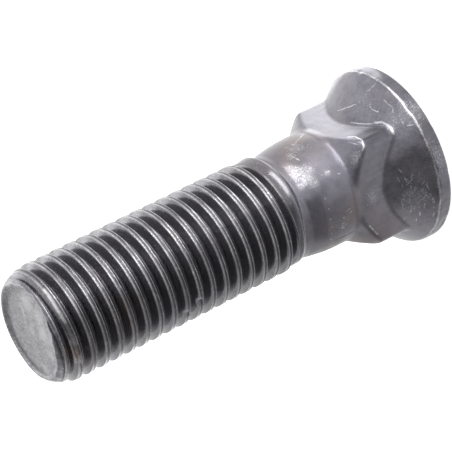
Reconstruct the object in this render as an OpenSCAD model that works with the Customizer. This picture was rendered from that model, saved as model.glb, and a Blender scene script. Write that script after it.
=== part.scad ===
// Plow bolt, forged and thread-rolled in one piece.
// It stands on its flat head: z = 0 is the head's face and +Z runs up the axis to the tip.

/* [Head] */
// Diameter of the head's rim
head_d = 31.4; // [28:0.1:38]
// Height of the straight rim above the face
rim_h = 2.4; // [1.2:0.1:4]
// Included angle of the countersunk cone
cone_angle = 80; // [70:1:90]
// Rounding of the rim where it meets the face
face_edge_r = 0.6; // [0.2:0.1:1]

/* [Square neck] */
// Width across the flats
square_w = 19.5; // [18.6:0.1:21]
// Rounding of the square's four corners
corner_r = 1.7; // [0.8:0.1:3]
// Height above the face where the corners stop being full width
corner_h = 11.7; // [9:0.1:14]
// Slope of the forged shoulder from the corners in to the shank
shoulder_angle = 45; // [35:1:55]
// Fillet between the shoulder and the shank
shoulder_fillet_r = 1.5; // [0.5:0.1:3]

/* [Shank] */
// Diameter of the plain shank
shank_d = 19.84; // [19.82:0.01:20.4]
// Height above the face where the plain shank ends
shank_h = 20.7; // [20:0.1:26]
// Length of the taper from the shank down to the rolling blank
taper_len = 3.2; // [1.5:0.1:5]
// Diameter of the blank that the thread is rolled on
blank_d = 18.3; // [17.6:0.1:19]

/* [Thread] */
// Diameter over the crests
thread_d = 19.8; // [19.2:0.05:19.8]
// Rise of the right-hand thread in one turn
pitch = 2.5; // [2:0.25:3]
// Included angle of the thread's flanks
flank_angle = 60; // [55:1:65]
// Width of the flat on the crests
crest_w = 0.6; // [0.3:0.05:0.7]
// Width of the flat in the roots
root_w = 0.25; // [0.15:0.05:0.5]
// Length over which the thread fades into the blank
runout_len = 4.5; // [2:0.5:8]
// Angle round the axis where the crest comes out at the tip
start_angle = 130; // [0:5:355]

/* [Tip] */
// Overall length of the bolt
bolt_len = 72.4; // [60:0.2:100]
// Diameter of the flat end
tip_d = 15.9; // [13:0.1:17]
// Diameter at the top of the end's chamfer
chamfer_d = 18.1; // [17.2:0.1:19]
// Length of the chamfer
chamfer_len = 1.4; // [0.8:0.1:2.5]
// Length over which the first turn grows from the chamfer to full height
lead_len = 2.3; // [1:0.1:5]

/* [Hidden] */
$fn = 96;

steel = "#55545a"; // dark phosphated steel

head_r = head_d / 2;
shank_r = shank_d / 2;
blank_r = blank_d / 2;
crest_r = thread_d / 2;

// The cone's core ends inside the neck, this far in from the flats
core_inset = corner_r / 2;
core_r = square_w / 2 - core_inset;
core_h = rim_h + (head_r - core_r) / tan(cone_angle / 2);

// Reach of the square's rounded corners from the axis
corner_reach = (square_w / 2 - corner_r) * sqrt(2) + corner_r;

// The shoulder's straight slope would meet the shank at meet_h, and its fillet leaves the shank at flat_h
meet_h = corner_h + (corner_reach - shank_r) / tan(shoulder_angle);
fillet_run = shoulder_fillet_r * tan(shoulder_angle / 2);
flat_h = meet_h + fillet_run;

// How far the round trimming section reaches past the corners, and into the shank behind the fillet
trim_margin = corner_r / 2;

// The shank's lower end slopes in by this much inside the neck, so that the flats run out under it
shank_lead = corner_r * 0.6;

// The rolled rod starts on the blank, a hair inside its edge
rod_base = shank_h + taper_len;
rod_inset = pitch / 80;

// One turn of the thread is four rows of points: both edges of the crest, then both edges of the root
sides = 40;
flank_w = (pitch - crest_w - root_w) / 2;
root_r = crest_r - flank_w / tan(flank_angle / 2);
row_rise = [0, crest_w, crest_w + flank_w, pitch - flank_w];
row_radius = [crest_r, crest_r, root_r, root_r];
turn_rows = len(row_rise);
turns = ceil((bolt_len - rod_base) / pitch) + 2;
rows = turns * turn_rows;

// Rows that the slant of the helix carries past an end are stacked there, this far apart
row_step = pitch / 50;

function smooth(t) = let (c = min(1, max(0, t))) c * c * (3 - 2 * c);

// Height of a point on the helix, held between the rod's two ends
function row_z(side, row) =
    let (
        turn = floor(row / turn_rows) - turns + 1,
        twist = side / sides - start_angle / 360,
        z = bolt_len + pitch * (turn + twist) + row_rise[row % turn_rows] - crest_w / 2
    )
    max(rod_base + row * row_step, min(z, bolt_len - (rows - 1 - row) * row_step));

// Largest radius that the chamfered tip leaves at a height
function tip_limit(z) =
    let (down = bolt_len - z)
    down < chamfer_len
        ? (tip_d + (chamfer_d - tip_d) * down / chamfer_len) / 2
        : (chamfer_d + (thread_d - chamfer_d) * min(1, (down - chamfer_len) / lead_len)) / 2;

// Radius of the rolled surface: the thread rises out of the blank at the run-out and is cut off by the tip
function row_r(row, z) =
    let (
        full = smooth((z - rod_base) / runout_len),
        blank = blank_r - rod_inset
    )
    min(tip_limit(z), blank + (row_radius[row % turn_rows] - blank) * full);

function rod_point(side, row) =
    let (
        z = row_z(side, row),
        r = row_r(row, z),
        angle = 360 * side / sides
    )
    [r * cos(angle), r * sin(angle), z];

// Number of a point in the rod's list, and of its neighbour one side further round
function at(side, row) = row * sides + side;
function beside(side, row) = side < sides - 1 ? at(side + 1, row) : at(0, row + turn_rows);

module plow_bolt() {
    color(steel)
    union() {
        head();
        neck();
        shank();
        threaded_rod();
    }
}

// Straight rim with a rounded edge at the face, and the countersunk cone
module head() {
    rotate_extrude()
    difference() {
        polygon([[0, 0], [head_r, 0], [head_r, rim_h], [core_r, core_h], [0, core_h]]);
        translate([head_r - face_edge_r, 0])
        difference() {
            square(face_edge_r);
            translate([0, face_edge_r])
            circle(face_edge_r);
        }
    }
}

// The square, trimmed at its corners by the round shoulder
module neck() {
    intersection() {
        translate([0, 0, rim_h])
        linear_extrude(flat_h - rim_h)
        rounded_square(square_w, corner_r);
        rotate_extrude()
        shoulder_profile();
    }
}

module rounded_square(width, r) {
    square([width, width - 2 * r], center = true);
    square([width - 2 * r, width], center = true);
    for (x = [-1, 1], y = [-1, 1])
        translate([x, y] * (width / 2 - r))
        circle(r);
}

// Half section of the shoulder: slope, then a hollow fillet up to the shank
module shoulder_profile() {
    outer_r = corner_reach + trim_margin;
    outer_h = corner_h - trim_margin / tan(shoulder_angle);
    inner_r = shank_r - trim_margin;
    slope_end = [
        shank_r + fillet_run * sin(shoulder_angle),
        meet_h - fillet_run * cos(shoulder_angle)
    ];
    fillet_centre = [shank_r + shoulder_fillet_r, flat_h];
    polygon([
        [0, 0], [outer_r, 0], [outer_r, outer_h],
        [shank_r, meet_h], [shank_r, flat_h], [0, flat_h]
    ]);
    difference() {
        polygon([[inner_r, meet_h - trim_margin], slope_end, fillet_centre, [inner_r, flat_h]]);
        translate(fillet_centre)
        circle(shoulder_fillet_r);
    }
}

// Plain shank, with its sloped end inside the neck and the taper down to the blank
module shank() {
    lead_h = flat_h - shank_lead;
    rotate_extrude()
    polygon([
        [0, lead_h], [shank_r - shank_lead, lead_h], [shank_r, flat_h],
        [shank_r, shank_h], [blank_r, rod_base], [0, rod_base]
    ]);
}

// Rod with the right-hand thread, from the blank to the chamfered tip.
// The last side of a row joins the first side of the row one turn further up,
// so a fan of triangles closes the wall beside the first and the last turn.
module threaded_rod() {
    last = sides - 1;
    points = [for (row = [0:rows - 1], side = [0:last]) rod_point(side, row)];
    base = [for (side = [0:last]) side];
    tip = [for (side = [last:-1:0]) at(side, rows - 1)];
    walls = [
        for (side = [0:last], row = [0:rows - 2 - (side == last ? turn_rows : 0)])
            let (
                low = at(side, row),
                high = at(side, row + 1),
                next_low = beside(side, row),
                next_high = beside(side, row + 1)
            )
            each [[low, high, next_high], [low, next_high, next_low]]
    ];
    base_fan = [for (row = [0:turn_rows - 1]) [at(last, 0), at(0, row + 1), at(0, row)]];
    tip_fan = [
        for (row = [rows - 1 - turn_rows:rows - 2])
            [at(last, row), at(last, row + 1), at(0, rows - 1)]
    ];
    polyhedron(points, concat([base], [tip], walls, base_fan, tip_fan));
}

plow_bolt();
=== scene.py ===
import math
import random

import bpy
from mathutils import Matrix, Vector, noise


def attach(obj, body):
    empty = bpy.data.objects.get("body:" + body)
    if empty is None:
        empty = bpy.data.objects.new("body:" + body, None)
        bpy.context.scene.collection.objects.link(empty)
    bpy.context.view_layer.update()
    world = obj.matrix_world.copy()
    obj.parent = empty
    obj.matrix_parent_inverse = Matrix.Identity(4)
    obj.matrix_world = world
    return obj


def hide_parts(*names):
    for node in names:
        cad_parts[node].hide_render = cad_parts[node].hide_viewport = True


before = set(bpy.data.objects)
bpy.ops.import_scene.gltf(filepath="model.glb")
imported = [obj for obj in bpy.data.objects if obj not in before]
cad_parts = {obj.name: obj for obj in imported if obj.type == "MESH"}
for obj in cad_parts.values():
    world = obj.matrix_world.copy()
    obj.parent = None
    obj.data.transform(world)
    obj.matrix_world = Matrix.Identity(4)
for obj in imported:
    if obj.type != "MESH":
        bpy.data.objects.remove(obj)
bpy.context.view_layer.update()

mm = 0.001

# sizes in millimetres, the same as in the part's source
bolt = {
    "headR": 15.7,
    "rimH": 2.4,
    "coneHalfAngle": 40,
    "faceEdgeR": 0.6,
    "squareHalf": 9.75,
    "cornerR": 1.7,
    "cornerH": 11.7,
    "shankR": 9.92,
    "flatH": 15.3,  # where the flats run out under the shank
    "shankH": 20.7,
    "blankH": 23.9,
    "blankR": 9.15,
    "crestR": 9.9,
    "pitch": 2.5,
    "runoutLength": 4.5,
    "startAngle": 130,
    "length": 72.4,
    "tipR": 7.95,
    "chamferR": 9.05,
    "chamferLength": 1.4,
    "leadLength": 2.3,
}

# how round the forging dies and the rolling dies left each edge, in millimetres
soft = {
    "rimEdge": 0.45,
    "neckToCone": 0.4,
    "cornerToCone": 0.25,  # more than that at the corners
    "shoulderEdge": 0.7,
    "shoulderToShank": 0.85,
    "shankFoot": 0.8,
    "shankToTaper": 0.9,
    "tip": 0.22,
}


def linear(hexText):
    parts = [int(hexText[i:i + 2], 16) / 255 for i in (1, 3, 5)]
    return tuple(c / 12.92 if c <= 0.04045 else ((c + 0.055) / 1.055) ** 2.4 for c in parts) + (1.0,)


def addNode(tree, kind, settings=None, links=None):
    # a link comes from a socket, or from a node's first output
    node = tree.nodes.new("ShaderNode" + kind)
    for name, value in (settings or {}).items():
        if isinstance(name, str) and hasattr(node, name):
            setattr(node, name, value)
        else:
            node.inputs[name].default_value = value
    for name, source in (links or {}).items():
        socket = source.outputs[0] if hasattr(source, "outputs") else source
        tree.links.new(socket, node.inputs[name])
    return node


def startPiece():
    if bpy.context.mode != "OBJECT":
        bpy.ops.object.mode_set(mode="OBJECT")
    bpy.ops.object.select_all(action="DESELECT")


def easeIn(t):
    t = min(1, max(0, t))
    return t * t * (3 - 2 * t)


def band(x, low, high, fadeIn, fadeOut):
    # 0 outside low and high, 1 between them, with soft ends
    return easeIn((x - low) / fadeIn) * easeIn((high - x) / fadeOut)


def falloff(x, width):
    return math.exp(-(x / width) ** 2)


def softMax(a, b, width):
    near = max(width - abs(a - b), 0) / width
    return max(a, b) + near * near * width * 0.25


def softMin(a, b, width):
    return -softMax(-a, -b, width)


def uneven(p, waves):
    # each wave is a depth in mm and how many of it a unit of p holds
    return sum(depth * noise.noise(p * often) for depth, often in waves)


def around(r, angle, z):
    return (r * math.cos(angle), r * math.sin(angle), z)


# forged blank: where its rows lie close and how uneven the dies and knocks left it, in millimetres
forged = {
    "steps": 240,  # points in a row
    "edgeBand": 0.3,  # close rows on both sides of the rim's edge
    "neckFrom": 5.4,
    "neckTo": 16.4,
    "taperBand": 0.6,  # from here below the taper
    "bridgeGap": 0.15,  # between its open rim and the rolled rod's
    "faceRings": (0.97, 0.8, 0.7, 0.6, 0.4),  # each a share of the ring outside it
    "dieWaves": ((0.055, 0.22), (0.025, 0.7)),
    "rimKnock": 0.15,
    "rimGraze": 0.05,
    "knockBand": 0.4,  # how far above the rim the knocks reach
}
forgedTop = bolt["blankH"] - forged["bridgeGap"]


def squareReach(angle):
    half, r = bolt["squareHalf"], bolt["cornerR"]
    a = abs((angle + math.pi / 4) % (math.pi / 2) - math.pi / 4)
    inner = half - r
    if half * math.tan(a) <= inner:
        return half / math.cos(a)
    along = inner * (math.cos(a) + math.sin(a))
    return along + math.sqrt(along * along - 2 * inner * inner + r * r)


def coneRadius(z):
    return bolt["headR"] - (z - bolt["rimH"]) * math.tan(math.radians(bolt["coneHalfAngle"]))


def forgedRadius(angle, z):
    # head, neck and shank, each blended into the next
    b = bolt
    edge = b["faceEdgeR"]
    rim = b["headR"] - edge + math.sqrt(max(0, edge * edge - max(0, edge - z) ** 2))
    head = softMin(rim, coneRadius(z), soft["rimEdge"])
    cornerReach = (b["squareHalf"] - b["cornerR"]) * math.sqrt(2) + b["cornerR"]
    shoulder = cornerReach - (z - b["cornerH"])
    neck = softMin(squareReach(angle), shoulder, soft["shoulderEdge"])
    below = max(0, b["flatH"] - z)
    shank = b["shankR"] - soft["shankFoot"] * below * below / (below + soft["shankFoot"])
    slope = (b["shankR"] - b["blankR"]) / (b["blankH"] - b["shankH"])
    shank = softMin(shank, b["shankR"] - (z - b["shankH"]) * slope, soft["shankToTaper"])
    body = softMax(neck, shank, soft["shoulderToShank"])
    atCorner = (squareReach(angle) - b["squareHalf"]) / (cornerReach - b["squareHalf"])
    return softMax(head, body, soft["neckToCone"] + soft["cornerToCone"] * easeIn(atCorner))


def rimKnocks(angle, z):
    # the rim is knocked in here and there, by about a tenth of a millimetre
    p = Vector(around(7, angle, z * 0.6))
    knock = forged["rimKnock"] * easeIn(1.6 * noise.noise(p) - 0.1)
    return knock + forged["rimGraze"] * abs(noise.noise(p * 3))


def forgedRows():
    edge, rim = bolt["faceEdgeR"], bolt["rimH"]
    rows = [edge * (1 - math.cos(math.radians(a))) for a in range(15, 90, 15)]
    stops = [  # height, and how many rows lead up to it
        (rim - forged["edgeBand"], 5),
        (rim + forged["edgeBand"], 6),
        (forged["neckFrom"], 9),
        (forged["neckTo"], 52),
        (bolt["shankH"] - forged["taperBand"], 9),
        (forgedTop, 13),
    ]
    start = edge
    for end, count in stops:
        rows += [start + (end - start) * i / count for i in range(count)]
        start = end
    return rows + [forgedTop]


def makeForgedBlank():
    startPiece()
    ringR = (bolt["headR"] - bolt["faceEdgeR"]) * mm
    bpy.ops.mesh.primitive_circle_add(vertices=forged["steps"], radius=ringR, fill_type="NOTHING")
    blank = bpy.context.object
    bpy.ops.object.mode_set(mode="EDIT")
    bpy.ops.mesh.select_all(action="SELECT")
    last = 0
    for z in forgedRows():
        bpy.ops.mesh.extrude_edges_move(TRANSFORM_OT_translate={"value": (0, 0, (z - last) * mm)})
        last = z
    bpy.ops.object.mode_set(mode="OBJECT")
    for v in blank.data.vertices:
        angle = math.atan2(v.co.y, v.co.x)
        z = v.co.z / mm
        r = forgedRadius(angle, z)
        if z < bolt["rimH"] + forged["knockBand"]:
            r -= rimKnocks(angle, z)
        else:
            r += uneven(Vector(around(r, angle, z)), forged["dieWaves"])
        v.co.x, v.co.y = r * mm * math.cos(angle), r * mm * math.sin(angle)
    print("forged blank:", len(blank.data.vertices), "points")
    return blank


# section of one turn as (offset from the crest's middle, radius): two lips with a shallow seam between them
turnSection = [
    (-1.25, 8.44),
    (-1.20, 8.46),
    (-1.14, 8.53),
    (-1.03, 8.73),
    (-0.89, 9.00),
    (-0.72, 9.32),
    (-0.54, 9.64),
    (-0.445, 9.79),
    (-0.40, 9.85),
    (-0.34, 9.885),
    (-0.285, 9.897),
    (-0.25, 9.889),
    (-0.18, 9.856),
    (-0.10, 9.842),
    (0.0, 9.84),
    (0.12, 9.842),
    (0.20, 9.852),
    (0.28, 9.888),
    (0.32, 9.90),
    (0.38, 9.893),
    (0.45, 9.864),
    (0.485, 9.80),
    (0.56, 9.655),
    (0.73, 9.345),
    (0.89, 9.035),
    (1.03, 8.76),
    (1.14, 8.54),
    (1.20, 8.46),
    (1.25, 8.44),
]

# sheared end: sides in degrees round the axis, lengths in millimetres
shearedEnd = {
    "breakSide": 20,  # the shears came through here, which the photograph shows
    "rollSide": 60,  # the end is rolled over towards here, by about a millimetre at its edge
    "roll": 0.3,
    "rollFrom": -6,
    "rollOver": 7,
    "rollCurve": 0.0011,
    "widening": 0.78,  # how far the edge moves out for each millimetre of roll
    "widenR": 8.5,
    "inset": 0.05,
    "breakInset": 0.12,
    "ragged": ((0.3, 5), (0.3, 12)),
    "lip": 0.34,  # height of the lip, and how much less it is where the shears came through
    "lipLess": 0.3,
    "lipWidth": 0.25,
    "slopeWidth": 0.4,
    "dish": 0.06,
    "grain": ((0.06, 0.6, 3), (0.035, 1.9, 8)),  # depth, waves to the millimetre, layer of the noise
    "chamferBow": 0.8,
    "rings": (0.985,) * 8 + (0.95, 0.94, 0.93, 0.92, 0.9, 0.88, 0.84, 0.78, 0.6),
}


def nearSide(angle):
    # 1 on the side where the shears came through, 0 on the other
    return easeIn(0.5 + 0.6 * math.cos(angle - math.radians(shearedEnd["breakSide"])))


def endDrop(x, y):
    e = shearedEnd
    side = math.radians(e["rollSide"])
    u = x * math.cos(side) + y * math.sin(side)
    return e["roll"] * easeIn((u - e["rollFrom"]) / e["rollOver"]) + e["rollCurve"] * max(0, u) ** 3


def tipEdge(angle):
    # the end's edge is wider where it has rolled over, and ragged where the shears came through
    e = shearedEnd
    p = Vector(around(1, angle, 0.4))
    wider = e["widening"] * endDrop(e["widenR"] * p.x, e["widenR"] * p.y)
    narrower = nearSide(angle) * (e["breakInset"] + uneven(p, e["ragged"]))
    return bolt["tipR"] - e["inset"] + wider - narrower


def tipDish(angle, r):
    # depth of the end inside its lip, most on the far side, with a torn grain
    e = shearedEnd
    inside = tipEdge(angle) - r
    x, y = r * math.cos(angle), r * math.sin(angle)
    grain = sum(d * noise.noise(Vector((x * often, y * often, layer))) for d, often, layer in e["grain"])
    lip = (e["lip"] - e["lipLess"] * nearSide(angle)) * easeIn((inside - e["lipWidth"]) / e["slopeWidth"])
    return lip + (e["dish"] + grain) * easeIn(inside / e["slopeWidth"])


def tipLimit(angle, z):
    b = bolt
    down = max(0, b["length"] - z)
    edge = tipEdge(angle)
    if down < b["chamferLength"]:
        return edge + (b["chamferR"] - edge) * (down / b["chamferLength"]) ** shearedEnd["chamferBow"]
    return b["chamferR"] + (b["crestR"] - b["chamferR"]) * (down - b["chamferLength"]) / b["leadLength"]


def settleTip(rod):
    # the end is dished and rolled over, and the chamfer below its edge is pressed together to match
    base = bolt["length"] - bolt["chamferLength"]
    for v in rod.data.vertices:
        z = v.co.z / mm
        if z <= base:
            continue
        angle, r = math.atan2(v.co.y, v.co.x), math.hypot(v.co.x, v.co.y) / mm
        edge = tipEdge(angle)
        if z > bolt["length"] - 0.001:
            drop = endDrop(v.co.x / mm, v.co.y / mm)
            dish = tipDish(angle, r) if r < edge - 0.02 else 0
            v.co.z -= (drop + dish) * mm
        else:
            drop = endDrop(edge * math.cos(angle), edge * math.sin(angle))
            v.co.z = (base + (z - base) * (1 - drop / bolt["chamferLength"])) * mm


# last turn before the shank: a broad round ridge without lips, in millimetres and degrees
lastTurn = {
    "turnsDown": 18,
    "height": 0.68,
    "towardsTip": (0.28, 1.57),  # how fast it falls away on that side, and the power
    "towardsHead": (1.1, 1.6),
    "lean": 0.35,  # towards the head, and how much more as it comes round
    "leanMore": 0.95,
    "leanSides": (-10, 60),  # where that starts, and over how many degrees
    "growSides": (-60, 90),  # where the height starts to grow from half of it
    "endSides": (170, 40),  # where the ridge ends, back from there
    "foot": 0.03,  # below the blank
    "footSoft": 0.2,
    "reach": (-2.6, 0.65, 0.5, 0.35),  # along the axis, with two fades
}


def crestOffset(angle, z):
    # distance along the axis from the middle of the nearest crest
    b = bolt
    middle = b["length"] + b["pitch"] * (math.degrees(angle) - b["startAngle"]) / 360
    return (z - middle + b["pitch"] / 2) % b["pitch"] - b["pitch"] / 2


def lastRidge(angle, r, z):
    t = lastTurn
    turn = math.degrees(angle)
    aside = z - bolt["length"] - bolt["pitch"] * ((turn - bolt["startAngle"]) / 360 - t["turnsDown"])
    leanFrom, leanOver = t["leanSides"]
    lean = t["lean"] + t["leanMore"] * easeIn((turn - leanFrom) / leanOver)
    height = t["height"]
    for (fall, power), away in ((t["towardsTip"], aside + lean), (t["towardsHead"], -lean - aside)):
        height -= fall * max(0, away) ** power
    growFrom, growOver = t["growSides"]
    height *= 0.5 + 0.5 * easeIn((turn - growFrom) / growOver)
    ridge = bolt["blankR"] - t["foot"] + softMax(height, 0, t["footSoft"])
    endSide, endOver = t["endSides"]
    share = band(aside, *t["reach"]) * easeIn((endSide - abs(turn)) / endOver)
    return r + (ridge - r) * share


# knocks on the crests, in millimetres and degrees
knock = {
    "count": 90,
    "heights": (29, 69),
    "depths": (0.05, 0.16),
    "fromR": 9.55,
    "turn": 2.6,
    "height": 0.4,
    "graze": 0.02,
}
# angle, height and depth of each, the first few as in the photograph
knocks = [
    (32, 51.0, 0.16),
    (35, 58.9, 0.18),
    (24, 63.6, 0.1),
    (40, 46.2, 0.12),
    (-19.5, 46.6, 0.5),
    (-27.5, 49.0, 0.4),
]
random.seed(20)
for i in range(knock["count"]):
    turn = random.uniform(-180, 180)
    height = random.uniform(*knock["heights"])
    knocks.append((turn, height, random.uniform(*knock["depths"])))


def crestKnocks(angle, z):
    depth = 0
    for turn, height, deep in knocks:
        if abs(z - height) < 2 * knock["height"]:
            away = (math.degrees(angle) - turn + 180) % 360 - 180
            depth += deep * falloff(away, knock["turn"]) * falloff(z - height, knock["height"])
    p = Vector(around(10, angle, z))
    return depth + knock["graze"] * abs(noise.noise(p * 0.9))


def rolledRadius(angle, r, z):
    full = easeIn((z - bolt["blankH"]) / bolt["runoutLength"])
    if r > knock["fromR"]:
        r -= crestKnocks(angle, z)
    r = bolt["blankR"] + (r - bolt["blankR"]) * full
    r = lastRidge(angle, r, z)
    return softMin(r, tipLimit(angle, z), soft["tip"])


# rolled rod: points in a turn, and how close points are merged, in millimetres
rolled = {
    "steps": 128,
    "mergeTurns": 0.004,
    "mergeCuts": 0.02,
    "cutThreshold": 0.0001,
}


def makeRolledRod():
    b = bolt
    startPiece()
    pitch = b["pitch"]
    crestZ = (b["length"] - pitch * b["startAngle"] / 360) % pitch
    crestZ += pitch * math.floor((b["blankH"] - 2 * pitch) / pitch)
    line = [(r * mm, (crestZ + dz) * mm) for dz, r in turnSection]
    # a single point, drawn out along the section of one turn
    bpy.ops.mesh.primitive_plane_add(size=mm, location=(0, 0, 0))
    rod = bpy.context.object
    bpy.ops.object.mode_set(mode="EDIT")
    bpy.ops.mesh.select_mode(type="VERT")
    bpy.ops.mesh.select_all(action="SELECT")
    bpy.ops.mesh.merge(type="CENTER")
    bpy.ops.transform.translate(value=(line[0][0], 0, line[0][1]))
    for (r0, z0), (r1, z1) in zip(line, line[1:]):
        bpy.ops.mesh.extrude_vertices_move(TRANSFORM_OT_translate={"value": (r1 - r0, 0, z1 - z0)})
    bpy.ops.object.mode_set(mode="OBJECT")
    screw = rod.modifiers.new("turns", "SCREW")
    screw.axis = "Z"
    screw.angle = 2 * math.pi
    screw.screw_offset = pitch * mm
    screw.iterations = math.ceil((b["length"] - crestZ + pitch / 2) / pitch)
    screw.steps = screw.render_steps = rolled["steps"]
    screw.use_merge_vertices = False
    bpy.ops.object.modifier_apply(modifier=screw.name)
    # the turns are joined and cut off level at both ends
    bpy.ops.object.mode_set(mode="EDIT")
    bpy.ops.mesh.select_all(action="SELECT")
    bpy.ops.mesh.remove_doubles(threshold=rolled["mergeTurns"] * mm)
    for z, cleared in ((b["blankH"], "clear_inner"), (b["length"], "clear_outer")):
        bpy.ops.mesh.select_all(action="SELECT")
        bpy.ops.mesh.bisect(plane_co=(0, 0, z * mm), plane_no=(0, 0, 1),
                            threshold=rolled["cutThreshold"] * mm, **{cleared: True})
    bpy.ops.mesh.select_all(action="SELECT")
    bpy.ops.mesh.remove_doubles(threshold=rolled["mergeCuts"] * mm)
    bpy.ops.object.mode_set(mode="OBJECT")
    for v in rod.data.vertices:
        angle = math.atan2(v.co.y, v.co.x)
        r = math.hypot(v.co.x, v.co.y) / mm
        r = rolledRadius(angle, r, v.co.z / mm) * mm
        v.co.x, v.co.y = r * math.cos(angle), r * math.sin(angle)
    print("rolled rod:", len(rod.data.vertices), "points")
    return rod


def selectOpenRing(piece, *heights):
    # the open edges near these heights, set level first
    startPiece()
    piece.select_set(True)
    bpy.context.view_layer.objects.active = piece
    bpy.ops.object.mode_set(mode="EDIT")
    bpy.ops.mesh.select_mode(type="EDGE")
    bpy.ops.mesh.select_all(action="DESELECT")
    bpy.ops.mesh.select_non_manifold(extend=False, use_wire=False, use_multi_face=False,
                                     use_non_contiguous=False, use_verts=False)
    bpy.ops.object.mode_set(mode="OBJECT")
    points = piece.data.vertices
    for e in piece.data.edges:
        near = [z for z in heights if abs(points[e.vertices[0]].co.z - z * mm) < 0.06 * mm]
        e.select = e.select and bool(near)
        if e.select:
            for i in e.vertices:
                points[i].co.z = near[0] * mm
    bpy.ops.object.mode_set(mode="EDIT")


def closeEnd(piece, z, rings):
    # rings drawn in from the edge towards the axis, then one point
    selectOpenRing(piece, z)
    for share in rings:
        bpy.ops.mesh.extrude_edges_move(TRANSFORM_OT_translate={"value": (0, 0, 0)})
        bpy.ops.transform.resize(value=(share, share, 1), center_override=(0, 0, z * mm))
    bpy.ops.mesh.extrude_edges_move(TRANSFORM_OT_translate={"value": (0, 0, 0)})
    bpy.ops.mesh.merge(type="CENTER")
    bpy.ops.object.mode_set(mode="OBJECT")


def makeBolt():
    blank = makeForgedBlank()
    closeEnd(blank, 0, forged["faceRings"])
    rod = makeRolledRod()
    closeEnd(rod, bolt["length"], shearedEnd["rings"])
    settleTip(rod)
    startPiece()
    rod.select_set(True)
    blank.select_set(True)
    bpy.context.view_layer.objects.active = blank
    bpy.ops.object.join()
    # the two open rims are bridged, so that the bolt is one closed skin
    selectOpenRing(blank, forgedTop, bolt["blankH"])
    bpy.ops.mesh.bridge_edge_loops()
    bpy.ops.mesh.select_all(action="SELECT")
    bpy.ops.mesh.normals_make_consistent(inside=False)
    bpy.ops.object.mode_set(mode="OBJECT")
    blank.name = "plowBolt"
    bpy.ops.object.shade_smooth()
    return blank


# Bare patches where handling and other bolts have rubbed the coating through, as the photograph shows it,
# and painted highlights where the shank, the taper and the sheared end catch the light:
# place in mm, how far the patch reaches, how bare it is.
rubsAndSheen = [
    ((4.2, 8.4, 23.0), 1.5, 0.6),  # shank, towards the thread
    ((5.45, 7.74, 22.55), 2.2, 0.68),
    ((6.75, 6.88, 21.82), 2.1, 0.68),
    ((6.2, 7.7, 20.8), 1.9, 0.64),
    ((7.62, 6.16, 21.2), 1.8, 0.64),
    ((6.95, 6.16, 23.0), 1.4, 0.58),
    ((7.5, 6.5, 18.2), 1.4, 0.58),
    ((2.4, 9.5, 21.2), 2.0, 0.52),
    ((6.0, 7.3, 69.6), 1.5, 0.5),  # first turn
    ((8.0, 5.2, 69.5), 1.5, 0.52),
    ((9.4, 1.0, 69.0), 1.8, 0.6),
    ((9.2, -2.5, 68.8), 2.0, 0.6),
    ((1.6, 6.0, 71.8), 2.6, 0.72),  # sheared end, painted lighter on its upper side
    ((4.6, 4.4, 71.6), 2.4, 0.7),
    ((6.2, -1.5, 71.9), 2.0, 0.62),
    ((3.0, -5.6, 72.2), 2.2, 0.6),
    ((9.32, -9.18, 10.84), 0.5, 0.6),  # neck's lower corner
    ((9.75, 0.0, 11.8), 2.8, 0.5),  # right flat
    ((9.1, 7.5, 13.2), 2.2, 0.54),  # shoulder at the near corner
    ((12.6, -2.2, 5.6), 4.2, 0.56),  # cone, right
    ((12.9, 1.2, 4.6), 2.4, 0.5),
    ((8.6, 10.6, 4.6), 3.4, 0.46),  # cone, near corner
    ((3.0, 12.8, 5.4), 3.4, 0.44),
    ((10.5, 11.6, 1.2), 5.0, 0.58),  # rim
    ((15.0, 4.5, 1.2), 5.0, 0.5),
    ((5.5, -8.2, 19.0), 4.0, 0.46),  # shank, lower edge
    ((9.6, -2.5, 18.3), 3.2, 0.45),
    ((1.5, 9.8, 19.5), 3.0, 0.53),  # shank, upper edge
]

# where a brown bloom of rust shows through the oil: place in mm, how far it reaches
blooms = [
    ((5.5, -8.2, 17.5), 6.0),
    ((9.4, -3.0, 18.0), 4.0),
    ((1.5, 9.8, 19.5), 4.5),
    ((9.3, -1.5, 69.0), 2.2),
    ((9.6, 2.0, 58.0), 3.0),
    ((8.0, -8.0, 13.0), 4.0),
]

# Where the skin is painted dark: painted shade at the neck's near corner, for its dark reflection,
# and under the shank, the shoulder and the crease, partly grime; and darker on the lower side of the taper.
# How dark, then sides in degrees and heights in mm, each as from, to and the two fades.
darkAndShadePatches = [
    (0.7, (40, 60, 6, 6), (5.5, 12.2, 1.5, 1.5)),  # painted shade at the neck's near corner, standing in for a dark reflection
    (0.32, (-30, 30, 12, 12), (20.95, 23.9, 0.2, 0.5)),  # darker on the lower side of the taper
    (0.38, (-130, -38, 30, 14), (11.8, 22.5, 1.0, 2.0)),  # painted shade under the shank, partly grime
    (0.38, (-130, -28, 30, 14), (11.8, 15.4, 1.0, 0.8)),  # and on the shoulder below it
    (0.375, (-130, -34, 30, 6), (15.2, 20.0, 0.6, 1.2)),  # and below the crease that the dies left
]
# painted shade along a crease that the dies left under the shank; the shape itself has no crease there
creaseShade = {"dark": 0.75, "side": -33.5, "width": 1.8, "heights": (15.2, 20.0, 0.6, 1.2)}

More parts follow.
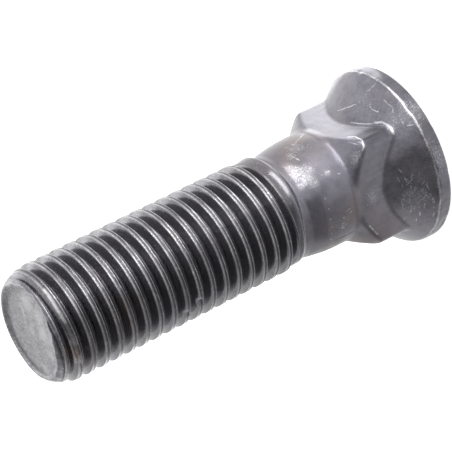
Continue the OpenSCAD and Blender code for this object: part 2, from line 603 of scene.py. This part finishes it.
# a scratch is a broken line: its points in mm and its width
scratches = [
    ([(-1.66, 10.72, 8.17), (-0.61, 11.19, 7.75), (0.66, 11.7, 7.13), (1.39, 12.13, 6.55)], 0.13),
    ([(3.93, 12.48, 5.5), (4.75, 11.93, 5.8), (5.99, 11.65, 5.49)], 0.11),
    ([(5.88, 13.15, 3.93), (7.62, 12.34, 3.83), (8.37, 11.52, 4.13)], 0.11),
    ([(9.74, 10.65, 3.9), (10.33, 10.06, 3.9)], 0.1),
    ([(10.88, 9.74, 3.71), (11.63, 9.9, 2.91)], 0.12),
    ([(2.39, 13.87, 4.32), (3.01, 14.92, 2.97)], 0.08),
    ([(7.0, 9.6, 12.9), (8.51, 9.33, 12.16)], 0.11),
    ([(9.75, -4.9, 13.37), (9.75, -6.01, 12.74), (9.75, -7.1, 12.14)], 0.16),
    ([(7.46, 6.53, 18.3), (7.5, 6.5, 17.7)], 0.2),
    ([(8.05, 5.78, 16.5), (8.15, 5.65, 16.2)], 0.16),
    ([(0.0, 9.83, 21.04), (0.43, 9.91, 18.79), (-0.92, 9.87, 16.16)], 0.13),
    ([(2.37, 9.47, 21.31), (4.78, 8.69, 20.6)], 0.15),
]

# short scrapes round the cone's right side, where bolts knocked together in the box, in mm and degrees
coneScrapes = {
    "count": 54,
    "side": -11,
    "spread": 12,
    "sweep": (0.02, 0.08),  # in radians
    "heights": (3.1, 7.3),
    "slant": 0.3,
    "widths": (0.07, 0.14),
}
random.seed(7)
for i in range(coneScrapes["count"]):
    turn = math.radians(random.gauss(coneScrapes["side"], coneScrapes["spread"]))
    sweep = random.uniform(*coneScrapes["sweep"])
    low = random.uniform(*coneScrapes["heights"])
    high = low + random.gauss(0, coneScrapes["slant"])
    ends = [around(coneRadius(low), turn, low), around(coneRadius(high), turn + sweep, high)]
    scratches.append((ends, random.uniform(*coneScrapes["widths"])))

# specks where the shank's lower side meets the taper
specks = {"sides": (19, 8, -3, -12, -21, -29), "length": 1, "r": 9.72, "height": 20.4, "width": 0.12}
for side in specks["sides"]:
    ends = [around(specks["r"], math.radians(a), specks["height"]) for a in (side, side + specks["length"])]
    scratches.append((ends, specks["width"]))

# finer scrapes along the shank's lower side
shankScrapes = {
    "count": 16,
    "sides": (-38, 2),
    "heights": (15.6, 19.8),
    "lengths": (0.4, 1.2),
    "sway": 0.04,  # in radians
    "widths": (0.07, 0.1),
}
for i in range(shankScrapes["count"]):
    turn = math.radians(random.uniform(*shankScrapes["sides"]))
    low = random.uniform(*shankScrapes["heights"])
    high = low + random.uniform(*shankScrapes["lengths"])
    sway = random.gauss(0, shankScrapes["sway"])
    ends = [around(bolt["shankR"], turn, low), around(bolt["shankR"], turn + sway, high)]
    scratches.append((ends, random.uniform(*shankScrapes["widths"])))

# a painted highlight along an edge or a hollow where the light catches it, partly rubbed bright, given in the
# same way
shoulderEdge = [(5.92, 9.75, 11.98), (6.61, 9.75, 11.2), (8.49, 9.69, 11.2)]
shoulderEdge += [(9.45, 9.01, 11.63), (9.49, 8.45, 12.08)]
firstTurnEdge = [(4.54, 8.38, 69.66), (5.4, 7.85, 69.6), (6.5, 6.9, 69.6)]
firstTurnEdge += [(7.5, 5.8, 69.6), (8.67, 4.19, 69.41)]
brightEdges = [
    (shoulderEdge, 0.2),
    ([(6.4, 10.3, 6.75), (7.4, 10.4, 6.0), (8.8, 9.8, 5.5), (9.7, 8.9, 5.7)], 0.27),
    ([(2.5, 10.05, 8.75), (4.0, 10.03, 8.25), (5.5, 10.1, 7.45), (6.4, 10.3, 6.75)], 0.11),
    ([(6.07, -11.6, 5.5), (9.69, -9.01, 5.34)], 0.16),
    (firstTurnEdge, 0.36),
]

# the rest of the wear, with the painted highlights and painted shade: shares of bare or dark skin, heights
# and widths in mm, sides in degrees
wearAndPaintedLight = {
    "bareSkin": 0.2,
    "bareThread": 0.17,  # more than the skin
    # the lips' bright lines: partly rubbed bare, partly painted highlight
    "lipsBareAndSheen": 0.38,
    "lipLines": ((0.3, 0.17), (-0.31, 0.08)),  # offset from the crest's middle, width
    "lipsFrom": 27.3,
    "lipsFade": 1.2,
    "lipsLitSide": 100,  # painted lighter on this side, where the light falls, and duller on the other; partly rubbed bright
    "lipsShadedShare": 0.6,
    "seamShade": 0.85,  # painted shade in the seam between the lips
    "seamOffset": -0.1,
    "seamWidth": 0.11,
    "rimDark": 0.22,  # on the rim's upper side
    "rimDarkR": 15.3,
    "rimDarkSide": 10,
    # bright along the rim's edge: partly rubbed, partly a painted highlight
    "rimEdge": 0.62,
    "rimEdgeWidth": 0.24,
    # bright along the end's lip: partly rubbed, partly a painted highlight
    "endEdge": 0.66,
    "endEdgeWidth": 0.18,
    "endShade": 0.6,  # painted shade in the hollow inside the lip, away from where the shears came through
    "endShadeInside": 1.1,
    "endShadeWidth": 0.7,
    # bright line along the chamfer's edge: a painted highlight, partly rubbed
    "chamferEdge": 0.9,
    "chamferEdgeH": 71.02,
    "chamferEdgeWidth": 0.13,
    "chamferEdgeR": 8.75,
    "threadFrom": 24.4,  # the rolled finish starts here
    "threadFade": 2.5,
    "crestHalf": 0.52,
    "crestFade": 0.16,
    "firstTurnFrom": 67.8,
    "firstTurnRough": 0.75,
    "chamferFrom": 70.4,
    "chamferFade": 0.6,
    "brownSkin": 0.2,
}


def bareAndSheenAt(p, r, onThread, lipRubAndSheen):
    w = wearAndPaintedLight
    patch = 0.5 + 0.5 * noise.noise(p * 0.5)
    bareAndSheen = w["bareSkin"] + w["bareThread"] * onThread + w["lipsBareAndSheen"] * lipRubAndSheen * easeIn(patch * 1.8 - 0.3)
    # the rim's edge is painted bright, partly as a highlight
    if r > bolt["headR"] - 0.7:
        onEdge = falloff(p.z - bolt["rimH"] - 0.05, w["rimEdgeWidth"])
        bareAndSheen = max(bareAndSheen, onEdge * (w["rimEdge"] + (1 - w["rimEdge"]) * patch))
    for place, reach, most in rubsAndSheen:
        bareAndSheen = max(bareAndSheen, most * falloff((p - Vector(place)).length, reach))
    return bareAndSheen


# how dark the skin is painted: on the rim's upper side, and painted shade at the neck's corner, in the crease
# and below
def darkAndShadeAt(turn, r, z):
    w = wearAndPaintedLight
    dark = w["rimDark"] * easeIn((r - w["rimDarkR"]) / 0.2) * easeIn((turn - w["rimDarkSide"]) / 20)
    inCreaseShade = falloff(turn - creaseShade["side"], creaseShade["width"]) * band(z, *creaseShade["heights"])
    dark = max(dark, creaseShade["dark"] * inCreaseShade)
    for most, sides, heights in darkAndShadePatches:
        dark = max(dark, most * band(turn, *sides) * band(z, *heights))
    return dark


# the bare mark also carries painted highlights, and the scale mark painted shade
markNames = ("rolled", "crest", "bareAndSheen", "sheared", "scale", "brown")


# paints the wear, and the highlights and shade that are painted into the skin's colour
def paintWearAndLight(piece):
    w = wearAndPaintedLight
    marks = {name: [] for name in markNames}
    for v in piece.data.vertices:
        p = v.co / mm
        angle, r, z = math.atan2(p.y, p.x), math.hypot(p.x, p.y), p.z
        offset = crestOffset(angle, z)
        onThread = easeIn((z - w["threadFrom"]) / w["threadFade"])
        onCrest = onThread * easeIn((w["crestHalf"] - abs(offset)) / w["crestFade"])
        # the lips are painted lighter on the upper side, where the light falls, and stay dull below: a
        # painted highlight on lips that are partly rubbed bare
        litSide = easeIn((math.cos(angle - math.radians(w["lipsLitSide"])) + 0.34) / 0.6)
        lipped = easeIn((z - w["lipsFrom"]) / w["lipsFade"])
        lipRubAndSheen = lipped * (w["lipsShadedShare"] + (1 - w["lipsShadedShare"]) * litSide)
        lipRubAndSheen *= max(falloff(offset - at, width) for at, width in w["lipLines"])
        bareAndSheen = bareAndSheenAt(p, r, onThread, lipRubAndSheen)
        # painted shade in the seam between the lips
        seamShade = w["seamShade"] * lipped * falloff(offset - w["seamOffset"], w["seamWidth"])
        dark = max(seamShade, darkAndShadeAt(math.degrees(angle), r, z))
        inEnd = False
        if z > bolt["length"] - 1.6:
            inside = tipEdge(angle) - r
            inEnd = inside > -0.03
            # bright lines on the end's lip and the chamfer's edge, partly painted highlight
            bareAndSheen = max(bareAndSheen, w["endEdge"] * falloff(inside, w["endEdgeWidth"]))
            if r > w["chamferEdgeR"]:
                onEdge = falloff(z - w["chamferEdgeH"], w["chamferEdgeWidth"])
                bareAndSheen = max(bareAndSheen, w["chamferEdge"] * onEdge * nearSide(angle))
            # painted shade in the hollow inside the end's lip
            if inEnd:
                ring = falloff(inside - w["endShadeInside"], w["endShadeWidth"])
                dark = w["endShade"] * (1 - nearSide(angle)) * ring
        # the first turn and the chamfer are rougher than the rest of the thread
        onChamfer = easeIn((z - w["chamferFrom"]) / w["chamferFade"])
        firstTurn = max(easeIn(z - w["firstTurnFrom"]) * onCrest, onChamfer)
        brown = max(falloff((p - Vector(place)).length, reach) for place, reach in blooms)
        marks["rolled"].append(onThread * (1 - w["firstTurnRough"] * firstTurn))
        marks["crest"].append(lipRubAndSheen)
        marks["bareAndSheen"].append(min(1, bareAndSheen))
        marks["sheared"].append(1.0 if inEnd else 0.0)
        marks["scale"].append(dark)
        marks["brown"].append(w["brownSkin"] + (1 - w["brownSkin"]) * brown)
    for name, values in marks.items():
        piece.data.attributes.new(name, "FLOAT", "POINT").data.foreach_set("value", values)
    print("wear painted on", len(piece.data.vertices), "points")


# Phosphated steel: forged, thread-rolled, then coated with dark crystals and oiled.
# The forged skin is satin and mottled, the rolled flanks are smoother and reflect almost clearly,
# the sheared end is lighter and rough, and rubbed edges show bare bright steel. The bare colour also
# paints highlights on lips, edges and lit patches, and the scale colour paints shade in the seam,
# inside the end's lip, at the neck's corner and under the shank.
steelLook = {
    "forgedDark": "#5b5a64",
    "forgedLight": "#7a7983",
    "rolled": "#606066",
    # lighter lips on the crests: partly rubbed, partly painted highlight
    "crest": "#77767a",
    "shearedDark": "#69686d",
    "sheared": "#b9b8bc",
    # dark scale, also used for painted shade
    "scale": "#39383e",
    # bare steel, also used for painted highlights
    "bareAndSheen": "#c6c5c8",
    "brown": "#6d5a4e",
    "rolledRough": 0.16,
    "shearedRough": 0.5,
    "bareRough": 0.3,
    "bumpStrength": 0.35,
    "bumpMm": 0.05,
    "tornBump": 4.0,  # as many times the height of the grain
    "tornBareAndSheen": 0.3,  # how much lighter the torn end is where it is rubbed, and where its lit upper side is painted lighter
    "scratchShake": 0.4,  # how far the scratches wander, in mm
    "edgeShake": 0.2,
    "lineCore": 0.3,  # share of a line's width that is fully bare
}

# its patterns: size in mm, detail, roughness
steelPatterns = {
    "mottle": (3.0, 5.0, 0.62),
    "grain": (0.3, 2.0, 0.5),  # the real crystals are near 0.02 mm, drawn coarser so that they show
    "streaks": (0.4, 2.0, 0.5),  # forging lines along the neck
    "bloom": (6.0, 4.0, 0.65),
    "torn": (1 / 1.8, 6.0, 0.85),
    "shake": (1 / 1.6, 3.0, 0.5),
    "breaks": (1 / 2.2, 4.0, 0.7),  # gaps in the scratches and rubs
    "flecks": (0.28, 4.0, 0.65),  # where the coating is knocked or rubbed off grain by grain
}

# how a pattern, a mark or a height is read
steelRanges = {
    "onNeck": {"From Min": 13.0, "From Max": 11.0, "To Min": 0.1, "To Max": 0.45},
    "forgedTone": {"From Min": 0.3, "From Max": 0.7},
    "brown": {"From Min": 0.35, "From Max": 0.65, "To Max": 0.8},
    "tornTone": {"From Min": 0.48, "From Max": 0.72},
    "gaps": {"From Min": 0.36, "From Max": 0.56},
    "thinned": {"From Min": 0.36, "From Max": 0.56, "To Min": 0.5, "To Max": 0.9},
    "fleckLevel": {"To Min": 0.75, "To Max": 0.3},
    "rubbed": {"From Max": 0.16, "To Max": 0.8},
    "burnished": {"From Min": 0.4, "From Max": 0.8, "To Max": 0.75},
    "patches": {"From Min": 0.36, "From Max": 0.62, "To Min": 0.12},
    "forgedRough": {"From Min": 0.3, "From Max": 0.7, "To Min": 0.28, "To Max": 0.4},
    "oilFilm": {"To Min": 0.8, "To Max": 0.1},
    "grainLeft": {"To Min": 1.0, "To Max": 0.25},
}


def lineMarks(tree, lines, point, core):
    # 1 along the broken lines, fading to 0 at their width
    marked = None
    for line, width in lines:
        for start, end in zip(line, line[1:]):
            along = Vector(end) - Vector(start)
            perMm = along / along.length_squared
            fromStart = addNode(tree, "VectorMath", {"operation": "SUBTRACT", 1: start}, {0: point})
            share = addNode(tree, "VectorMath", {"operation": "DOT_PRODUCT", 1: perMm}, {0: fromStart})
            held = addNode(tree, "Clamp", {}, {"Value": share.outputs["Value"]})
            foot = addNode(tree, "VectorMath", {"operation": "SCALE", 0: along}, {"Scale": held})
            off = addNode(tree, "VectorMath", {"operation": "DISTANCE"}, {0: fromStart, 1: foot})
            mark = addNode(tree, "MapRange", {"From Min": width, "From Max": width * core},
                           {"Value": off.outputs["Value"]})
            if marked:
                mark = addNode(tree, "Math", {"operation": "MAXIMUM"}, {0: marked, 1: mark})
            marked = mark
    return marked


def makeSteel():
    look, ranges = steelLook, steelRanges
    steel = bpy.data.materials.new("phosphatedSteel")
    steel.use_nodes = True
    tree = steel.node_tree
    shader = tree.nodes["Principled BSDF"]
    shader.inputs["Metallic"].default_value = 1
    place = addNode(tree, "TexCoord").outputs["Object"]
    point = addNode(tree, "Mapping", {"Scale": (1 / mm, 1 / mm, 1 / mm)}, {"Vector": place})
    marks = {}
    for name in markNames:
        marks[name] = addNode(tree, "Attribute", {"attribute_name": name}).outputs["Fac"]
    # forging lines run along the neck, and the torn end is streaked along the shears' stroke
    lengthwise = addNode(tree, "Mapping", {"Scale": (1, 1, 0.08)}, {"Vector": point})
    stroke = addNode(tree, "Mapping", {"Scale": (0.8, 1.7, 1.0), "Rotation": (0, 0, 0.5)}, {"Vector": point})
    ways = {"streaks": lengthwise, "torn": stroke}
    pattern = {}
    for name, (size, detail, roughness) in steelPatterns.items():
        settings = {"Scale": 1 / size, "Detail": detail, "Roughness": roughness}
        pattern[name] = addNode(tree, "TexNoise", settings, {"Vector": ways.get(name, point)})

    height = addNode(tree, "SeparateXYZ", {}, {0: point}).outputs["Z"]
    onNeck = addNode(tree, "MapRange", ranges["onNeck"], {"Value": height})
    streaks = addNode(tree, "Math", {"operation": "SUBTRACT", 1: 0.5}, {0: pattern["streaks"]})
    tone = addNode(tree, "Math", {"operation": "MULTIPLY_ADD"}, {0: streaks, 1: onNeck, 2: pattern["mottle"]})
    tone = addNode(tree, "MapRange", ranges["forgedTone"], {"Value": tone})
    forgedColours = {6: linear(look["forgedDark"]), 7: linear(look["forgedLight"])}
    colour = addNode(tree, "Mix", {"data_type": "RGBA", **forgedColours}, {0: tone}).outputs[2]
    brown = addNode(tree, "MapRange", ranges["brown"], {"Value": pattern["bloom"]})
    brown = addNode(tree, "Math", {"operation": "MULTIPLY"}, {0: brown, 1: marks["brown"]})
    tone = addNode(tree, "Math", {"operation": "MULTIPLY_ADD", 1: look["tornBareAndSheen"]},
                   {0: marks["bareAndSheen"], 2: pattern["torn"]})
    tone = addNode(tree, "MapRange", ranges["tornTone"], {"Value": tone})
    tornColours = {6: linear(look["shearedDark"]), 7: linear(look["sheared"])}
    tornColour = addNode(tree, "Mix", {"data_type": "RGBA", **tornColours}, {0: tone}).outputs[2]

    # scratches and bright edges wander a little, so they are measured from a shaken point
    shake = pattern["shake"].outputs["Color"]
    shake = addNode(tree, "VectorMath", {"operation": "SUBTRACT", 1: (0.5, 0.5, 0.5)}, {0: shake})
    bareAndSheenParts = []
    drawn = [(scratches, look["scratchShake"], "gaps"), (brightEdges, look["edgeShake"], "thinned")]
    for lines, far, breaks in drawn:
        shaken = addNode(tree, "VectorMath", {"operation": "MULTIPLY_ADD", 1: (far, far, far)},
                         {0: shake, 2: point})
        lined = lineMarks(tree, lines, shaken, look["lineCore"])
        left = addNode(tree, "MapRange", ranges[breaks], {"Value": pattern["breaks"]})
        bareAndSheenParts.append(addNode(tree, "Math", {"operation": "MULTIPLY"}, {0: lined, 1: left}))
    level = addNode(tree, "MapRange", ranges["fleckLevel"], {"Value": marks["bareAndSheen"]})
    over = addNode(tree, "Math", {"operation": "SUBTRACT"}, {0: pattern["flecks"], 1: level})
    bareAndSheenParts.append(addNode(tree, "MapRange", ranges["rubbed"], {"Value": over}))
    # under the flecks the bare mark, rubs and painted highlights alike, is burnished in patches
    burnished = addNode(tree, "MapRange", ranges["burnished"], {"Value": marks["bareAndSheen"]})
    patches = addNode(tree, "MapRange", ranges["patches"], {"Value": pattern["breaks"]})
    bareAndSheenParts.append(addNode(tree, "Math", {"operation": "MULTIPLY"}, {0: burnished, 1: patches}))
    wornAndSheen = bareAndSheenParts[0]
    for part in bareAndSheenParts[1:]:
        wornAndSheen = addNode(tree, "Math", {"operation": "MAXIMUM"}, {0: wornAndSheen, 1: part})

    # the layers of colour, each over the one before; the lips' and the bare layers are partly painted
    # highlight, the scale layer partly painted shade
    layers = [
        (marks["rolled"], look["rolled"]),
        (marks["crest"], look["crest"]),
        (brown, look["brown"]),
        (marks["sheared"], tornColour),
        (marks["scale"], look["scale"]),
        (wornAndSheen, look["bareAndSheen"]),
    ]
    for amount, tint in layers:
        settings, links = {"data_type": "RGBA"}, {0: amount, 6: colour}
        if isinstance(tint, str):
            settings[7] = linear(tint)
        else:
            links[7] = tint
        colour = addNode(tree, "Mix", settings, links).outputs[2]
    tree.links.new(colour, shader.inputs["Base Color"])

    rough = addNode(tree, "MapRange", ranges["forgedRough"], {"Value": pattern["mottle"]})
    roughLayers = [
        (marks["rolled"], look["rolledRough"]),
        (marks["sheared"], look["shearedRough"]),
        (wornAndSheen, look["bareRough"]),
    ]
    for amount, value in roughLayers:
        rough = addNode(tree, "Mix", {"data_type": "FLOAT", 3: value}, {0: amount, 2: rough})
    tree.links.new(rough.outputs[0], shader.inputs["Roughness"])
    # the oil film: a clear coat, which pales the skin where it is seen at a low angle, and is thin on scale
    # and on the painted shade
    film = addNode(tree, "MapRange", ranges["oilFilm"], {"Value": marks["scale"]})
    tree.links.new(film.outputs[0], shader.inputs["Coat Weight"])
    tree.links.new(rough.outputs[0], shader.inputs["Coat Roughness"])

    # grain in the skin, nearly rolled out on the thread and coarse on the torn end
    left = addNode(tree, "MapRange", ranges["grainLeft"], {"Value": marks["rolled"]})
    height = addNode(tree, "Math", {"operation": "MULTIPLY"}, {0: pattern["grain"], 1: left})
    torn = addNode(tree, "Math", {"operation": "MULTIPLY"}, {0: pattern["torn"], 1: marks["sheared"]})
    height = addNode(tree, "Math", {"operation": "MULTIPLY_ADD", 1: look["tornBump"]}, {0: torn, 2: height})
    bumpSize = {"Strength": look["bumpStrength"], "Distance": look["bumpMm"] * mm}
    bumps = addNode(tree, "Bump", bumpSize, {"Height": height})
    tree.links.new(bumps.outputs[0], shader.inputs["Normal"])
    tree.links.new(bumps.outputs[0], shader.inputs["Coat Normal"])
    print("steel made,", len(tree.nodes), "nodes")
    return steel


piece = makeBolt()
paintWearAndLight(piece)
steel = makeSteel()
piece.data.materials.clear()
piece.data.materials.append(steel)
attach(piece, "root")
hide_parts("plow_bolt")

# camera fitted to the photograph's outline
view = {
    "place": (0.251639, 0.155307, 0.171553),
    "turn": (-43.770693, 54.245944, -18.277014),
    "lens": 160.146,
    "side": 31.7,  # where it stands, in degrees round the bolt's axis
}
cameraData = bpy.data.cameras.new("camera")
camera = bpy.data.objects.new("camera", cameraData)
bpy.context.scene.collection.objects.link(camera)
cameraData.lens = view["lens"]
cameraData.sensor_width = 36
cameraData.clip_start = 0.01
camera.location = view["place"]
camera.rotation_euler = [math.radians(a) for a in view["turn"]]
bpy.context.scene.camera = camera
bpy.context.scene.view_settings.view_transform = "Standard"

# the studio is laid out in metres from the camera's side: towards it, and to what is the picture's top
cameraSide = math.radians(view["side"])
toCamera = Vector((math.cos(cameraSide), math.sin(cameraSide), 0))
toTop = Vector((-math.sin(cameraSide), math.cos(cameraSide), 0))


def studioPlace(forward, up, z):
    return toCamera * forward + toTop * up + Vector((0, 0, z))


# matte white paper, which the eye and the steel see a little brighter than it is lit
paperLook = {
    "radius": 1.5,
    "z": -0.0001,
    "white": "#e6e6e6",
    "seenGlow": 0.85,
    "mirroredGlow": 0.6,
}


def makeFloor():
    look = paperLook
    startPiece()
    bpy.ops.mesh.primitive_circle_add(vertices=96, radius=look["radius"], fill_type="NGON",
                                      location=(0, 0, look["z"]))
    floor = bpy.context.object
    floor.name = "floor"
    paper = bpy.data.materials.new("whitePaper")
    paper.use_nodes = True
    tree = paper.node_tree
    tree.nodes.clear()
    path = addNode(tree, "LightPath").outputs
    mirrored = addNode(tree, "Math", {"operation": "MAXIMUM"},
                       {0: path["Is Glossy Ray"], 1: path["Is Transmission Ray"]})
    mirrored = addNode(tree, "Math", {"operation": "MULTIPLY", 1: look["mirroredGlow"]}, {0: mirrored})
    seen = addNode(tree, "Math", {"operation": "MULTIPLY_ADD", 1: look["seenGlow"]},
                   {0: path["Is Camera Ray"], 2: mirrored})
    matte = addNode(tree, "BsdfDiffuse", {"Color": linear(look["white"])})
    glow = addNode(tree, "Emission", {"Color": (1, 1, 1, 1)}, {"Strength": seen})
    both = addNode(tree, "AddShader", {}, {0: matte, 1: glow})
    addNode(tree, "OutputMaterial", {}, {"Surface": both})
    floor.data.materials.append(paper)


# dark felt on the floor in front, which only reflections see, as photographers lay it for metal
clothLook = {
    "size": (0.7, 0.6, 1),
    "forward": 0.25,
    "up": -0.26,
    "z": 0.0004,
    "black": "#101012",
    # its edges fade over ten centimetres, so that the reflections have no hard line
    "topFade": {"interpolation_type": "SMOOTHSTEP", "From Min": 0.285, "From Max": 0.19, "To Max": 0.65},
    "backFade": {"interpolation_type": "SMOOTHSTEP", "From Min": -0.32, "From Max": -0.2, "To Min": 0.85},
}


def makeDarkCloth():
    look = clothLook
    startPiece()
    bpy.ops.mesh.primitive_plane_add(size=1, location=(0, 0, look["z"]))
    cloth = bpy.context.object
    cloth.name = "darkCloth"
    cloth.scale = look["size"]
    cloth.location = studioPlace(look["forward"], look["up"], look["z"])
    cloth.rotation_euler = (0, 0, cameraSide)
    bpy.ops.object.transform_apply(location=False, rotation=False, scale=True)
    cloth.visible_camera = False
    cloth.visible_diffuse = False
    cloth.visible_shadow = False
    felt = bpy.data.materials.new("darkFelt")
    felt.use_nodes = True
    tree = felt.node_tree
    tree.nodes.clear()
    coord = addNode(tree, "TexCoord").outputs["Object"]
    parts = addNode(tree, "SeparateXYZ", {}, {0: coord}).outputs
    top = addNode(tree, "MapRange", look["topFade"], {"Value": parts["Y"]})
    back = addNode(tree, "MapRange", look["backFade"], {"Value": parts["X"]})
    fade = addNode(tree, "Math", {"operation": "MULTIPLY"}, {0: top, 1: back})
    clear = addNode(tree, "BsdfTransparent")
    dark = addNode(tree, "BsdfDiffuse", {"Color": linear(look["black"])})
    both = addNode(tree, "MixShader", {}, {0: fade, 1: clear, 2: dark})
    addNode(tree, "OutputMaterial", {}, {"Surface": both})
    cloth.data.materials.append(felt)


# light from all round: behind the bolt, from the picture's low side to its top, and near the floor
studio = {
    "behind": {"interpolation_type": "SMOOTHSTEP", "From Min": -0.1, "From Max": 0.3, "To Max": 0.9},
    "side": {"interpolation_type": "SMOOTHSTEP", "From Min": -0.3, "From Max": 0.45,
             "To Min": 0.28, "To Max": 1.35},
    "horizon": {"From Min": 0.5, "From Max": 0.0, "To Min": 0.27, "To Max": 0.43},
}


def makeStudio():
    world = bpy.data.worlds.new("studio")
    bpy.context.scene.world = world
    world.use_nodes = True
    tree = world.node_tree
    tree.nodes.clear()
    way = addNode(tree, "TexCoord").outputs["Generated"]
    behind = addNode(tree, "VectorMath", {"operation": "DOT_PRODUCT", 1: -toCamera}, {0: way})
    behind = addNode(tree, "MapRange", studio["behind"], {"Value": behind.outputs["Value"]})
    side = addNode(tree, "VectorMath", {"operation": "DOT_PRODUCT", 1: toTop}, {0: way})
    side = addNode(tree, "MapRange", studio["side"], {"Value": side.outputs["Value"]})
    light = addNode(tree, "Math", {"operation": "MAXIMUM"}, {0: behind, 1: side})
    height = addNode(tree, "SeparateXYZ", {}, {0: way}).outputs["Z"]
    horizon = addNode(tree, "MapRange", studio["horizon"], {"Value": height})
    light = addNode(tree, "Math", {"operation": "MAXIMUM"}, {0: light, 1: horizon})
    path = addNode(tree, "LightPath").outputs
    # the camera sees plain white
    light = addNode(tree, "Mix", {"data_type": "FLOAT", 3: 1.0}, {0: path["Is Camera Ray"], 2: light})
    sky = addNode(tree, "Background", {"Color": (1, 1, 1, 1)}, {"Strength": light})
    addNode(tree, "OutputWorld", {}, {"Surface": sky})


# lamps: how far towards the camera, towards the picture's top and up, width and height in metres, watts
softboxes = {
    "keySoftbox": (0.215, 0.185, 0.046, 0.27, 0.088, 0.36),  # low, on the side of the picture's top
    "upperBack": (-0.3, 0.27, 0.2, 0.24, 0.2, 0.135),  # behind, for the flanks near the upper outline
}
# panels that lie on the floor and shine up
floorPanels = {
    "backPanel": (-0.004, 0.0238, 0.0003, 0.029, 0.0205, 0.00276),  # for the flat and rim that face it
    "frontPanel": (0.043, 0.033, 0.0003, 0.042, 0.042, 0.0056),  # for the shank in front
}
aim = Vector((0, 0, 0.04))


def addLamp(name, forward, up, z, width, height, watts):
    data = bpy.data.lights.new(name, "AREA")
    data.shape = "RECTANGLE"
    data.size, data.size_y = width, height
    data.energy = watts
    lamp = bpy.data.objects.new(name, data)
    bpy.context.scene.collection.objects.link(lamp)
    lamp.location = studioPlace(forward, up, z)
    lamp.visible_camera = False
    return lamp


makeFloor()
makeDarkCloth()
makeStudio()
for name, setting in softboxes.items():
    lamp = addLamp(name, *setting)
    lamp.rotation_euler = (lamp.location - aim).to_track_quat("Z", "Y").to_euler()
for name, setting in floorPanels.items():
    addLamp(name, *setting).rotation_euler = (math.pi, 0, cameraSide)
print("studio set")

triangles = sum(len(p.vertices) - 2 for p in piece.data.polygons)
print("bolt:", len(piece.data.vertices), "points", triangles, "triangles")
